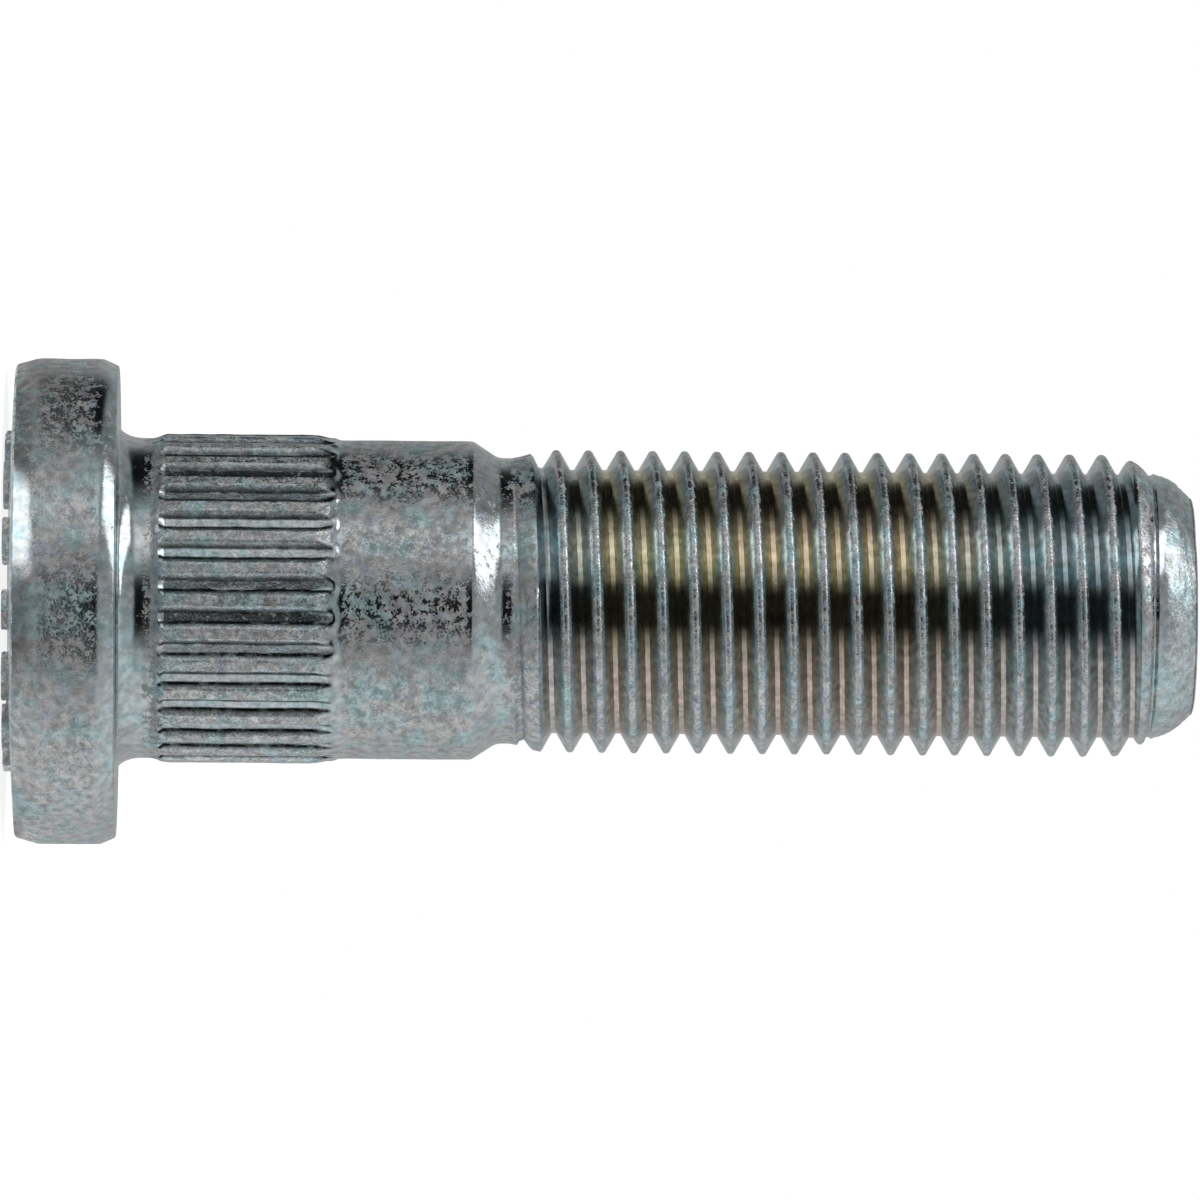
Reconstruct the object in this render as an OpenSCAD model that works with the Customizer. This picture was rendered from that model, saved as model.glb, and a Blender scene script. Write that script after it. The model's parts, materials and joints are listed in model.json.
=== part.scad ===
// Serrated wheel stud, pressed into a hub from behind: round head, fillet, serrated body,
// plain shoulder, conical step, right-hand rolled thread and a rounded lead-in tip.
// It stands on its head, +Z along the shank, with the pads of the head face on z = 0.
// One forged and rolled piece, so it is one node.

/* [Head] */
// Diameter of the round head, in mm
head_d = 18.9; // [17:0.05:21]
// Thickness of the head at its rim, from the edge of its outer face to its bearing face, in mm
head_h = 3.98; // [3:0.01:6]
// Height by which the middle of the forged outer face stands proud of its edge, in mm
face_dome = 0.3; // [0.05:0.01:0.4]
// Radius of the round at the edge of the outer face, in mm
rim_round = 0.2; // [0.1:0.01:0.3]
// Height of the forged taper between the outer face and the rim, along the axis, in mm
rim_taper_h = 0.9; // [0.5:0.05:1.2]
// Depth of that taper, across the axis, in mm
rim_taper_w = 0.2; // [0.1:0.01:0.4]
// Height of the turned chamfer at the bearing side of the rim, along the axis, in mm
head_chamfer_h = 0.63; // [0.2:0.01:1]
// Depth of that chamfer, across the axis, in mm
head_chamfer_w = 0.28; // [0.1:0.01:0.6]
// Radius of the fillet between the bearing face and the body, in mm
head_fillet = 0.55; // [0.2:0.01:0.9]
// Distance by which the forging left the head off the shank's axis, in mm
head_shift = 0.16; // [0:0.01:0.3]

/* [Head face pads] */
// Number of plain forged pads in the ring on the head face
pad_count = 14; // [8:1:16]
// Height of a pad above the domed face, at the middle of the pad, in mm
pad_h = 0.25; // [0.15:0.01:0.4]
// Length of a pad around the ring, in mm
pad_l = 1.5; // [0.8:0.1:2]
// Width of a pad across the ring, in mm
pad_w = 1.2; // [0.6:0.1:2]
// Radius of the ring through the middle of the pads, in mm
pad_ring_r = 6; // [5.2:0.1:7]
// Turn of the ring of pads about the axis, in degrees
pad_turn = 16; // [0:1:25]

/* [Serrated body] */
// Diameter of the round body between the fillet and the serrations, in mm
collar_d = 12.46; // [12.1:0.02:12.6]
// Length of that round body, from the bearing face to the serrations' ramp, in mm
collar_l = 1.33; // [1:0.01:2.5]
// Diameter over the crests of the serrations, in mm
serration_d = 12.8; // [12.7:0.01:13.2]
// Number of serrations around the body
serration_count = 31; // [24:1:34]
// Length of the ramp up to the crests at the head side, in mm
serration_rise_l = 0.62; // [0.3:0.01:1]
// Length of the crests at full height, in mm
serration_l = 5.6; // [4:0.05:7]
// Length of the ramp down to the shoulder, in mm
serration_fall_l = 1.18; // [0.8:0.01:1.6]
// Width of a groove at the crests, in mm
groove_w = 0.88; // [0.7:0.01:0.95]
// Width of a groove's flat floor, in mm
groove_floor_w = 0.38; // [0.2:0.01:0.5]
// Depth of a groove below the crests, in mm
groove_depth = 0.24; // [0.18:0.01:0.28]
// Length over which a groove's end at the head side would taper to a point, in mm
groove_start_l = 0.5; // [0.3:0.05:0.6]
// Length over which a groove's end at the shoulder side would taper to a point, in mm
groove_exit_l = 2.3; // [1.6:0.05:2.6]
// Turn of the serrations about the axis, in degrees
serration_turn = 9.6; // [0:0.1:15]

/* [Shoulder] */
// Diameter of the plain shoulder, in mm
shoulder_d = 12.4; // [12:0.02:12.5]
// Length of the plain shoulder, in mm
shoulder_l = 5.06; // [3:0.01:9]
// Length of the conical step from the shoulder down to the neck, in mm
step_l = 0.97; // [0.6:0.01:1.5]

/* [Thread] */
// Diameter of the neck ahead of the thread, which is the blank the thread was rolled on, in mm
neck_d = 11.12; // [10.95:0.01:11.2]
// Length of the neck, in mm
neck_l = 0.54; // [0.3:0.01:2]
// Diameter over the thread crests, in mm
thread_d = 11.82; // [11.7:0.01:12]
// Pitch of the right-hand thread, in mm
pitch = 1.25; // [1.2:0.01:1.3]
// Depth from the thread crests to the roots, in mm
thread_depth = 0.78; // [0.7:0.01:0.8]
// Width of a crest where it meets the flanks, in mm
crest_w = 0.21; // [0.14:0.01:0.28]
// Width of a root where it meets the flanks, in mm
root_w = 0.21; // [0.14:0.01:0.28]
// Height by which a crest and a root are rounded, in mm
thread_round = 0.035; // [0.01:0.005:0.05]
// Length of the thread from the neck to the lead-in tip, in mm
thread_l = 24.8; // [12:0.1:36]
// Turn of the thread about the axis, in degrees
thread_turn = 50; // [0:1:359]
// Number of straight steps in one turn of the thread
turn_steps = 36; // [24:4:40]

/* [Tip] */
// Diameter of the lead-in tip beside the thread, in mm
tip_d = 10.22; // [9.9:0.01:10.3]
// Diameter of the flat end of the tip, in mm
tip_end_d = 8.25; // [7:0.05:9]
// Length of the lead-in tip, in mm
tip_l = 1.8; // [1.4:0.01:3]
// Height of the rounded nose within the tip, in mm
nose_l = 1.45; // [1:0.01:1.7]

/* [Hidden] */

eps = 0.02;
over = 1;
lap = 0.08;
ledge = 0.08;
head_r = head_d / 2;
collar_r = collar_d / 2;
crest_r = serration_d / 2;
shoulder_r = shoulder_d / 2;
neck_r = neck_d / 2;
tip_r = tip_d / 2;

// The outer face is a low dome, on which the pads stand; its edge lies inside the rim's taper.
face_r = head_r - rim_taper_w - rim_round;

function dome_drop(r) = face_dome * (1 - pow(r / face_r, 2));

// Heights along the axis, from the pads up to the tip.
z_face = pad_h + dome_drop(pad_ring_r);
z_bearing = z_face + head_h;
z_rise = z_bearing + collar_l;
z_crest = z_rise + serration_rise_l;
z_fall = z_crest + serration_l;
z_shoulder = z_fall + serration_fall_l;
z_step = z_shoulder + shoulder_l;
z_neck = z_step + step_l;
z_thread = z_neck + neck_l;
z_end = z_thread + thread_l + tip_l;

// The wound thread laps a little into the neck and into the tip.
turn_rise = pitch / turn_steps;
thread_levels = round((thread_l + 2 * lap) / turn_rise);
z_first = z_thread - lap;
z_last = z_first + thread_levels * turn_rise;
z_tip = z_last - lap;

// The serrations: how far around from one to the next, and where a groove has its full depth.
// The point that its ends taper to lies a little outside the crests.
groove_pitch_deg = 360 / serration_count;
groove_out = 0.05;
groove_slope = (groove_w - groove_floor_w) / 2 / groove_depth;
z_groove = z_crest - 0.11;
z_exit = z_fall;

// Smooth rise from 0 to 1 as t goes from 0 to 1, level at both ends.
function smooth(t) = let (c = min(1, max(0, t))) c * c * (3 - 2 * c);

// Half of the head's outline: low dome, rounded edge, taper, rim and the chamfer beside the
// bearing face.
dome_steps = 5;
round_steps = 4;
taper_deg = atan(rim_taper_w / (rim_taper_h - rim_round));
module head_outline() {
  polygon(concat(
    [
      for (i = [0 : dome_steps])
        let (r = face_r * i / dome_steps)
        [r, z_face - dome_drop(r)]
    ],
    [
      for (i = [1 : round_steps])
        let (a = -90 + (90 - taper_deg) * i / round_steps)
        [face_r + rim_round * cos(a), z_face + rim_round * (1 + sin(a))]
    ],
    [
      [head_r, z_face + rim_taper_h],
      [head_r, z_bearing - head_chamfer_h],
      [head_r - head_chamfer_w, z_bearing],
      [0, z_bearing]
    ]
  ));
}

// The quarter-round of metal in the corner below the bearing face.
module fillet_outline() {
  difference() {
    translate([collar_r - over, z_bearing - eps])
      square([over + head_fillet, head_fillet + eps]);
    translate([collar_r + head_fillet, z_bearing + head_fillet])
      circle(r = head_fillet, $fn = 64);
  }
}

// Half of the body's outline from inside the head up to the end of the shoulder.
module body_outline() {
  polygon([
    [0, z_bearing - over],
    [collar_r, z_bearing - over],
    [collar_r, z_rise],
    [crest_r, z_crest],
    [crest_r, z_fall],
    [shoulder_r, z_shoulder],
    [shoulder_r, z_step],
    [0, z_step]
  ]);
}

// Half of the conical step and the plain neck.
module neck_outline() {
  polygon([
    [0, z_step - over],
    [shoulder_r, z_step - over],
    [shoulder_r, z_step],
    [neck_r, z_neck],
    [neck_r, z_thread],
    [0, z_thread]
  ]);
}

// One plain raised pad, its outer face on z = 0.
module pad() {
  translate([pad_ring_r - pad_w / 2, -pad_l / 2, 0])
    cube([pad_w, pad_l, z_face + over]);
}

// Section of one groove, seen along the axis from a point a little outside the crests: a flat
// floor and two sloping flanks.
module groove_section() {
  floor_x = -groove_depth - groove_out;
  top_w = groove_floor_w / 2 + (groove_out - floor_x) * groove_slope;
  polygon([
    [floor_x, -groove_floor_w / 2],
    [groove_out, -top_w],
    [groove_out, top_w],
    [floor_x, groove_floor_w / 2]
  ]);
}

// One groove: straight along the crests, with ends that climb and narrow out of the metal.
module groove() {
  translate([crest_r + groove_out, 0, z_groove]) {
    linear_extrude(z_exit - z_groove)
      groove_section();
    translate([0, 0, z_exit - z_groove])
      linear_extrude(groove_exit_l, scale = 0)
        groove_section();
    mirror([0, 0, 1])
      linear_extrude(groove_start_l, scale = 0)
        groove_section();
  }
}

// The body with its serrations, which are the metal left between the grooves.
module serrated_body() {
  difference() {
    rotate_extrude($fn = 180)
      body_outline();
    for (i = [0 : serration_count - 1])
      rotate([0, 0, serration_turn + i * groove_pitch_deg])
        groove();
  }
}

// The thread, as a grid of points wound along the helix. Six lines of points follow each turn:
// the two edges and the middle of the crest, and the two edges and the middle of the root.
// Every level is a whole number of small rises, so that lines which meet an end plane
// do so on the points of that end's ring.
crest_levels = max(2, round(crest_w / turn_rise / 2) * 2);
root_levels = max(2, round(root_w / turn_rise / 2) * 2);
flank_levels = (turn_steps - crest_levels - root_levels) / 2;
line_level = [
  0,
  crest_levels / 2,
  crest_levels,
  crest_levels + flank_levels,
  crest_levels + flank_levels + root_levels / 2,
  crest_levels + flank_levels + root_levels
];
major_r = thread_d / 2;
root_r = major_r - thread_depth;
line_r = [
  major_r - thread_round,
  major_r,
  major_r - thread_round,
  root_r + thread_round,
  root_r,
  root_r + thread_round
];
lines = len(line_level);
turns_held = ceil(thread_levels / turn_steps) + 3;
rows = lines * turns_held;

// The thread grows out of the blank over its first turn and fades into the tip over its last.
start_r = neck_r - ledge;
end_r = tip_r - ledge;
grow_levels = turn_steps * 1.3;
fade_levels = turn_steps * 1.04;

function row_level(row, step) =
  turn_steps * (floor(row / lines) - 1) + line_level[row % lines] + step;

function grown(level) = smooth(level / grow_levels);

function faded(level) = pow(smooth((thread_levels - level) / fade_levels), 0.6);

function point_r(row, level) =
  let (r = line_r[row % lines])
  r - (1 - grown(level)) * (r - start_r) - (1 - faded(level)) * (r - end_r);

function round_point(r, step, level) =
  [
    r * cos(360 * step / turn_steps),
    r * sin(360 * step / turn_steps),
    z_first + level * turn_rise
  ];

helix_points = [
  for (step = [0 : turn_steps - 1])
    for (row = [0 : rows - 1])
      let (level = min(thread_levels, max(0, row_level(row, step))))
      round_point(point_r(row, level), step, level)
];
start_ring = [
  for (step = [0 : turn_steps - 1])
    round_point(start_r, step, 0)
];
end_ring = [
  for (step = [0 : turn_steps - 1])
    round_point(end_r, step, thread_levels)
];

first_start = turn_steps * rows;
first_end = first_start + turn_steps;

// The number of the point at a step and a row; past an end plane it is the ring's own point.
function point_at(step, row) =
  step == turn_steps
    ? point_at(0, row + lines)
    : row_level(row, step) <= 0
      ? first_start + step
      : row_level(row, step) >= thread_levels
        ? first_end + step
        : step * rows + row;

function is_real(f) = f[0] != f[1] && f[1] != f[2] && f[0] != f[2];

side_faces = [
  for (step = [0 : turn_steps - 1])
    for (row = [0 : rows - lines - 2])
      let (
        a = point_at(step, row),
        b = point_at(step, row + 1),
        c = point_at(step + 1, row + 1),
        d = point_at(step + 1, row)
      )
      each [
        if (is_real([a, b, c])) [a, b, c],
        if (is_real([a, c, d])) [a, c, d]
      ]
];
start_face = [for (step = [0 : turn_steps - 1]) first_start + step];
end_face = [for (step = [turn_steps - 1 : -1 : 0]) first_end + step];

module thread() {
  rotate([0, 0, thread_turn])
    polyhedron(
      points = concat(helix_points, start_ring, end_ring),
      faces = concat(side_faces, [start_face], [end_face])
    );
}

// Half of the lead-in tip: a short straight part, then a nose that curves in to the flat end.
nose_steps = 6;
nose_drop = (tip_d - tip_end_d) / 2;
module tip_outline() {
  polygon(concat(
    [[0, z_tip], [tip_r, z_tip], [tip_r, z_end - nose_l]],
    [
      for (i = [1 : nose_steps])
        let (t = i / nose_steps)
        [tip_r - nose_drop * (0.35 * t + 0.65 * t * t), z_end - nose_l * (1 - t)]
    ],
    [[0, z_end]]
  ));
}

module wheel_stud() {
  color([0.56, 0.57, 0.56]) {
    translate([head_shift, 0, 0]) {
      rotate_extrude($fn = 180)
        head_outline();
      for (i = [0 : pad_count - 1])
        rotate([0, 0, pad_turn + i * 360 / pad_count])
          pad();
    }
    rotate_extrude($fn = 180)
      fillet_outline();
    serrated_body();
    rotate_extrude($fn = 180)
      neck_outline();
    thread();
    rotate_extrude($fn = 180)
      tip_outline();
  }
}

wheel_stud();
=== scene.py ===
# %% [markdown]
# # Zinc-plated wheel stud
# A wheel stud is forged from round bar, its thread and serrations are rolled, and the whole
# piece is plated with zinc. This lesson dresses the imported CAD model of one: a finely modelled
# mesh takes the place of the CAD solid, and one material gives it the plated skin.

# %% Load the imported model
import json
import math

import bmesh
import bpy
from mathutils import Matrix, Vector, noise

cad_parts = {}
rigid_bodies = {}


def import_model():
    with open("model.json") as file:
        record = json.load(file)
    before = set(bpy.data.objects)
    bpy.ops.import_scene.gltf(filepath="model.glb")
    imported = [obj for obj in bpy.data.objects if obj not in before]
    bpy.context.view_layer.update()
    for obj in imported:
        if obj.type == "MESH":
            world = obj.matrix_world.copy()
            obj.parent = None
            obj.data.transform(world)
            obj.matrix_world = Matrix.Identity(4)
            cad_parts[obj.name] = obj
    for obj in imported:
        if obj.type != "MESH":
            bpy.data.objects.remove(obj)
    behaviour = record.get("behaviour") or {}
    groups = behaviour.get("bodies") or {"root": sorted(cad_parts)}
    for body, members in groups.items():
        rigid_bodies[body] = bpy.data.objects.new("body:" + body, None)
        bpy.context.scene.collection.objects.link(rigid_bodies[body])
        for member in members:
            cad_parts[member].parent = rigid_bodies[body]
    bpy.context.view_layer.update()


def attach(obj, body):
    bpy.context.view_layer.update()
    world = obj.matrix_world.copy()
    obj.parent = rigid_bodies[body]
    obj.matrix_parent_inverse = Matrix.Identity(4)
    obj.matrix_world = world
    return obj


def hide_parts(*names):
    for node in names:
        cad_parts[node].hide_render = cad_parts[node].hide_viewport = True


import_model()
MM = 0.001

# %% [markdown]
# ## The camera
# The photograph looks square on at the shank, with the head to the left. Its outline bulges a
# little towards the camera at both ends, and the size of that bulge gives the distance. The
# stud stands on its head in the model, so the camera is rolled by a quarter turn, and by half
# a degree more because the stud lies slightly aslant in the picture. It also looks a degree
# from the head towards the tip, which is why the head's edges bulge less than the thread's.

# %% Camera
IMAGE_PX = 1200
PX_PER_MM = 25.67
HEAD_END_PX = 5.05
AXIS_BELOW_CENTRE_PX = 1.8
TILT_DEG, LEAN_DEG = 0.48, 1.15
CAMERA_DISTANCE, SENSOR_MM = 0.549, 36

camera_data = bpy.data.cameras.new("camera")
camera = bpy.data.objects.new("camera", camera_data)
bpy.context.scene.collection.objects.link(camera)
bpy.context.scene.camera = camera

frame_width = IMAGE_PX / PX_PER_MM * MM
camera_data.sensor_width = SENSOR_MM
camera_data.lens = SENSOR_MM * CAMERA_DISTANCE / frame_width
tilt, lean = math.radians(TILT_DEG), math.radians(LEAN_DEG)
up = Vector((-math.cos(tilt), 0, -math.sin(tilt)))
back = Vector((0, -math.cos(lean), -math.sin(lean)))
back = (back - back.dot(up) * up).normalized()
right = up.cross(back)
axis_height = (IMAGE_PX / 2 - HEAD_END_PX) / PX_PER_MM * MM
aim = Vector((0, 0, axis_height)) + up * (AXIS_BELOW_CENTRE_PX / PX_PER_MM * MM)
place = aim + back * CAMERA_DISTANCE
camera.matrix_world = Matrix.Translation(place) @ Matrix((right, up, back)).transposed().to_4x4()
print("lens", round(camera_data.lens), "mm, aimed", round(aim.z / MM, 2), "mm above the floor")

# %% [markdown]
# ## The sizes
# These are the sizes of the CAD model, in millimetres. The mesh below is made on them, so it
# lies where the solid lies and only adds what rolling, forging and handling did to it.

# %% Sizes
PAD_H, FACE_DOME = 0.25, 0.3
HEAD_R, HEAD_H = 9.45, 3.98
RIM_ROUND, RIM_TAPER_H, RIM_TAPER_W = 0.2, 0.9, 0.2
CHAMFER_H, CHAMFER_W = 0.63, 0.28
HEAD_SHIFT = 0.16
FILLET_R = 0.55
COLLAR_R, COLLAR_L = 6.23, 1.33
CREST_R, RISE_L, CREST_L, FALL_L = 6.4, 0.62, 5.6, 1.18
SERRATIONS, SERRATION_TURN = 31, 9.6
GROOVE_W, GROOVE_FLOOR_W, GROOVE_DEPTH = 0.88, 0.38, 0.24
GROOVE_START_L, GROOVE_EXIT_L, GROOVE_OUT = 0.5, 2.3, 0.05
SHOULDER_R, SHOULDER_L, STEP_L = 6.2, 5.06, 0.97
NECK_R, NECK_L = 5.56, 0.54
THREAD_R, PITCH, THREAD_DEPTH, THREAD_L = 5.91, 1.25, 0.78, 24.8
THREAD_TURN = 50.0
TIP_R, TIP_END_R, TIP_L, NOSE_L = 5.11, 4.125, 1.8, 1.45
PADS, PAD_L, PAD_W, PAD_RING_R, PAD_TURN = 14, 1.5, 1.2, 6.0, 16
FACE_R = HEAD_R - RIM_TAPER_W - RIM_ROUND


def dome_drop(r):
    """How far the domed face lies below the level of its edge, at a radius."""
    return FACE_DOME * (1 - (r / FACE_R) ** 2)


Z_FACE = PAD_H + dome_drop(PAD_RING_R)
Z_BEARING = Z_FACE + HEAD_H
Z_RISE = Z_BEARING + COLLAR_L
Z_CREST = Z_RISE + RISE_L
Z_FALL = Z_CREST + CREST_L
Z_SHOULDER = Z_FALL + FALL_L
Z_STEP = Z_SHOULDER + SHOULDER_L
Z_NECK = Z_STEP + STEP_L
Z_THREAD = Z_NECK + NECK_L
Z_TIP = Z_THREAD + THREAD_L
Z_END = Z_TIP + TIP_L
print("stud", round(Z_END, 3), "mm long, thread from", round(Z_THREAD, 2), "to", round(Z_TIP, 2))

# %% [markdown]
# ## One mesh, ring by ring
# The stud could be a profile on a Screw modifier, but the serrations and the winding thread
# need their own points. So the mesh is built from rings that run from the middle of the head
# face, over the rim and up the shank. Plain stretches have half as many points round as the
# serrations, and a strip of triangles joins one kind of ring to the other.
# Each point also keeps four numbers for the material: how far it is smooth from rolling or
# turning, how far it has the coarse grit of a pressed crest, how far it lies in a root of the
# thread, and how far it is painted dark, as painted shade in a crease of the serrations and on
# the head's face and pads.

# %% Points, rings and strips
points, faces = [], []
marks = {"smooth": [], "grit": [], "root": [], "dark": []}


def add_point(r, turn, z, shift=0.0, **mark):
    """A point at a radius and height in mm and a turn in radians, with its marks."""
    points.append(((r * math.cos(turn) + shift) * MM, r * math.sin(turn) * MM, z * MM))
    for name, values in marks.items():
        values.append(mark.get(name, 0.0))
    return len(points) - 1


def join_rings(a, b):
    """Faces between two rings with as many points, or one with twice as many as the other."""
    n, m = len(a), len(b)
    if n == m:
        faces.extend((a[i], a[(i + 1) % n], b[(i + 1) % n], b[i]) for i in range(n))
    elif m == 2 * n:
        for i in range(n):
            left, middle, end = b[2 * i], b[2 * i + 1], b[(2 * i + 2) % m]
            faces.extend([(a[i], middle, left), (a[i], a[(i + 1) % n], middle)])
            faces.append((a[(i + 1) % n], end, middle))
    else:
        for i in range(m):
            left, middle, end = a[2 * i], a[2 * i + 1], a[(2 * i + 2) % n]
            faces.extend([(left, middle, b[i]), (middle, b[(i + 1) % m], b[i])])
            faces.append((middle, end, b[(i + 1) % m]))


def ease(t):
    """Rises from 0 to 1 as t does, level at both ends."""
    t = min(1.0, max(0.0, t))
    return t * t * (3 - 2 * t)


def rough(x, y, z, per_mm, seed=0.0):
    """Smooth noise between about -1 and 1, with so many bumps to a millimetre."""
    return noise.noise(Vector((x * per_mm + seed, y * per_mm - seed, z * per_mm + 2 * seed)))


def spread(start, end, steps):
    """Values from start to end in equal steps, both ends counted."""
    return [start + (end - start) * i / steps for i in range(steps + 1)]


def arc(centre_z, centre_r, radius, start, end, steps):
    """Points of an arc in the outline, as (height, radius); 0 degrees points outwards."""
    angles = [math.radians(degrees) for degrees in spread(start, end, steps)]
    return [(centre_z + radius * math.sin(a), centre_r + radius * math.cos(a)) for a in angles]


print("marks kept on each point:", ", ".join(marks))


# %% [markdown]
# ## Head, collar and fillet
# The head is upset by forging in a die, so its face is a low dome with a rounded edge and a
# taper beside it, and it sits a little off the shank's axis. The bearing side is turned: it has
# a shallow chamfer and a crisp corner. A fillet leads into the collar, because a sharp corner
# there would crack, and it runs further along the collar than it does out over the head. The
# outline is a list of heights and radii, close together where it bends.

# %% Outline from the head face to the neck
FILLET_STRETCH = 1.8
rim_edge = Z_BEARING - CHAMFER_H
taper_end = Z_FACE + RIM_TAPER_H
taper_deg = math.degrees(math.atan(RIM_TAPER_W / (RIM_TAPER_H - RIM_ROUND)))
face = [(Z_FACE - dome_drop(r), r) for r in (1.5, 3.0, 4.5, 6.0, 7.2, 8.2)]
corner = arc(Z_FACE + RIM_ROUND, FACE_R, RIM_ROUND, -90, -taper_deg, 6)
taper = [(0.4, 0.137), (0.65, 0.069), (RIM_TAPER_H - 0.1, 0.031), (RIM_TAPER_H, 0.01)]
corner += [(Z_FACE + up_by, HEAD_R - inset) for up_by, inset in taper]
rim = [(z, HEAD_R) for z in spread(taper_end + 0.12, rim_edge - 0.25, 7)]
chamfer_r = HEAD_R - CHAMFER_W
chamfer = [(rim_edge + 0.03, HEAD_R - 0.01), (rim_edge + 0.3, HEAD_R - 0.125)]
chamfer += [(Z_BEARING - 0.07, chamfer_r + 0.04), (Z_BEARING - 0.015, chamfer_r - 0.01)]
bearing = [(Z_BEARING, chamfer_r - 0.08), (Z_BEARING, 8.4), (Z_BEARING, 7.6)]
quarter = arc(FILLET_R, COLLAR_R + FILLET_R, FILLET_R, 270, 180, 8)
fillet = [(Z_BEARING + FILLET_STRETCH * z, r) for z, r in quarter]
collar = [(z, COLLAR_R) for z in spread(Z_BEARING + 1.07, Z_RISE - 0.06, 1)]

step_slope = math.degrees(math.atan((SHOULDER_R - NECK_R) / STEP_L))
STEP_EDGE_R, STEP_FOOT_R = 0.35, 0.7
edge_l = STEP_EDGE_R * math.tan(math.radians(step_slope / 2))
foot_l = STEP_FOOT_R * math.tan(math.radians(step_slope / 2))
shoulder = [(z, SHOULDER_R) for z in spread(Z_SHOULDER + 0.3, Z_STEP - 0.35, 8)]
step = arc(Z_STEP - edge_l, SHOULDER_R - STEP_EDGE_R, STEP_EDGE_R, 0, step_slope, 3)
step += [(Z_STEP + STEP_L * t, SHOULDER_R - (SHOULDER_R - NECK_R) * t) for t in (0.3, 0.5)]
step += arc(Z_NECK + foot_l, NECK_R + STEP_FOOT_R, STEP_FOOT_R, 180 + step_slope, 180, 4)
neck = [(z, NECK_R) for z in spread(Z_THREAD - 0.2, Z_THREAD - 0.1, 1)]
print("head, step and neck outlined; the step falls by", round(step_slope), "degrees")

# %% [markdown]
# ## Serrations
# The serrations are ridges that bite into the hub. A rolling die presses the grooves in: each
# has a flat floor and two sloping flanks, starts blunt at the head side and runs out of the
# metal like a boat's bow at the other, where it pushes up a small lip. The die leaves the
# groove smooth and the ridges keep a grit. A dark line is painted along the foot of each flank
# as painted shade in the crease, the body is burnished where the grooves end, and all the
# edges wander a little.

# %% Serrated surface
GROOVE_STEP = 2 * math.pi / SERRATIONS
GROOVE_SLOPE = (GROOVE_W - GROOVE_FLOOR_W) / 2 / GROOVE_DEPTH
Z_GROOVE, Z_GROOVE_END = Z_CREST - 0.11, Z_FALL + 0.81
LIP_H, LIP_W, LIP_L = 0.085, 0.32, 0.15
EDGE_WANDER, GROOVE_WANDER = 0.022, 0.02
FOOT_FROM, FOOT_TO = 0.17, 0.29
RIDGE_BUMPS, RIDGE_WAVES = 0.014, 0.01
half_pitch = [0.12, 0.19, 0.25, 0.36, 0.43, 0.48, 0.56]
groove_lines = [-0.65] + [-x for x in reversed(half_pitch)] + [0.0] + half_pitch
serration_heights = spread(Z_RISE + 0.02, Z_CREST - 0.38, 4) + spread(Z_CREST - 0.35, Z_GROOVE, 8)
serration_heights += spread(Z_CREST - 0.05, Z_FALL, 32) + spread(Z_FALL + 0.1, Z_SHOULDER, 14)


def blank_radius(z):
    """Radius of the body before the grooves are pressed in."""
    if z < Z_CREST:
        return COLLAR_R + (CREST_R - COLLAR_R) * ease((z - Z_RISE) / RISE_L)
    return CREST_R - (CREST_R - SHOULDER_R) * ease((z - Z_FALL) / FALL_L)


def groove_size(z):
    """Size of the groove's section at a height: 1 along the crests, less towards its ends."""
    if z < Z_GROOVE:
        return max(0.0, 1 - (Z_GROOVE - z) / GROOVE_START_L)
    exit_l = Z_GROOVE_END - Z_FALL
    return 1 - exit_l / GROOVE_EXIT_L * max(0.0, (z - Z_FALL) / exit_l) ** 1.8


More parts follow.
